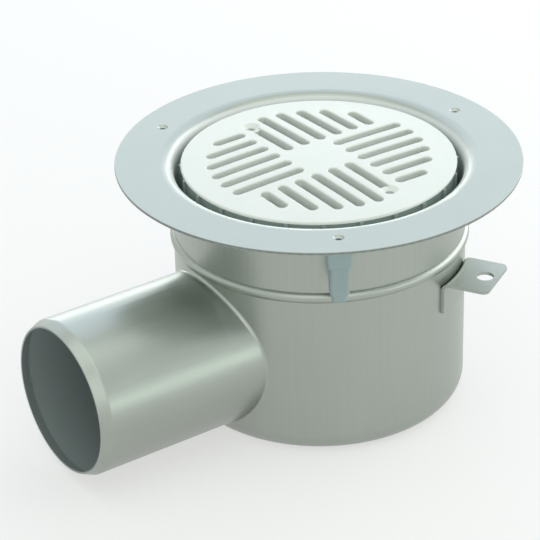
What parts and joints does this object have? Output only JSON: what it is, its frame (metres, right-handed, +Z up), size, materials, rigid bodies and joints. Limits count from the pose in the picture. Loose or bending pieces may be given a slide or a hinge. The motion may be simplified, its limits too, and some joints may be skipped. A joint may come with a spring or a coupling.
{
  "type": "gully trap",
  "caption": "Stainless floor gully with a wide flange, side outlet spigot, moulded slotted grating, clamp ring and a lift-out water trap inside.",
  "frame": {"origin": "on the bowl's axis, at its flat underside", "axes": "+Z up along the bowl's axis, +X out of the outlet pipe"},
  "size_m": [0.3545, 0.28, 0.178],
  "materials": {
    "stainless": "pickled satin sheet",
    "white_plastic": "moulded, fine satin",
    "grey_plastic": "moulded satin",
    "trap_plastic": "moulded satin",
    "seal_rubber": "moulded rubber"
  },
  "bodies": {
    "root": {"bowl": "stainless", "outlet_pipe": "stainless", "floor_flange": "stainless", "fixing_lug_1": "stainless", "fixing_lug_2": "stainless", "screw_plug_1": "grey_plastic", "screw_plug_2": "grey_plastic", "screw_plug_3": "grey_plastic", "grating": "white_plastic", "clamp_ring": "trap_plastic", "body_seal": "seal_rubber", "trap_inlet": "trap_plastic", "dip_tube": "trap_plastic", "lift_bar": "trap_plastic", "trap_seal": "seal_rubber", "trap_cup": "trap_plastic"}
  },
  "joints": []
}
